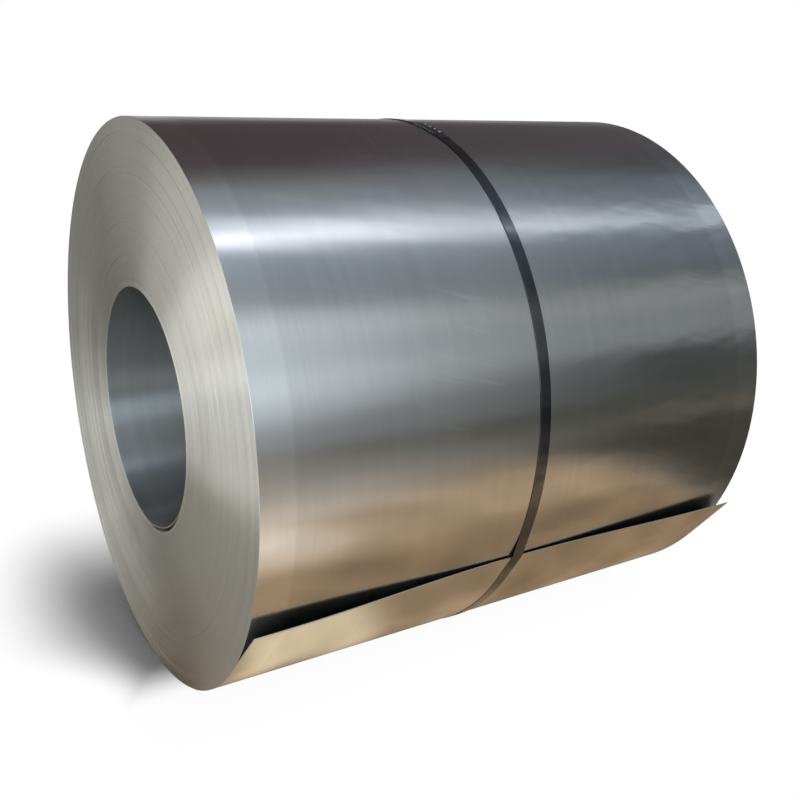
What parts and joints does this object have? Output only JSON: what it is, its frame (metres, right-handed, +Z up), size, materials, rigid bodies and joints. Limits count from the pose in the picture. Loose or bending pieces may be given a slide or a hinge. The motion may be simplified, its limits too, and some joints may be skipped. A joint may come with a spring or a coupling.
{
  "type": "steel coil",
  "caption": "Coil of bright rolled steel strip lying on its side, with an open eye, turns showing on both ends, a sprung loose tail and a steel strap with a crimped seal.",
  "frame": {"origin": "on the floor under the middle of the coil, at the underside of the strap", "axes": "+X along the eye, with the end that shows the sprung head turn at -X; -Y towards the front, where the loose tail is; +Z up"},
  "size_m": [1.2008, 1.1752, 1.1754],
  "materials": {
    "rolled_steel": "bright satin cold rolled",
    "blued_strap": "blued and waxed, semi-gloss",
    "seal_steel": "blued, bright at the crimps"
  },
  "bodies": {
    "root": {"steel_coil": "rolled_steel", "strap": "blued_strap", "strap_seal": "seal_steel"}
  },
  "joints": []
}
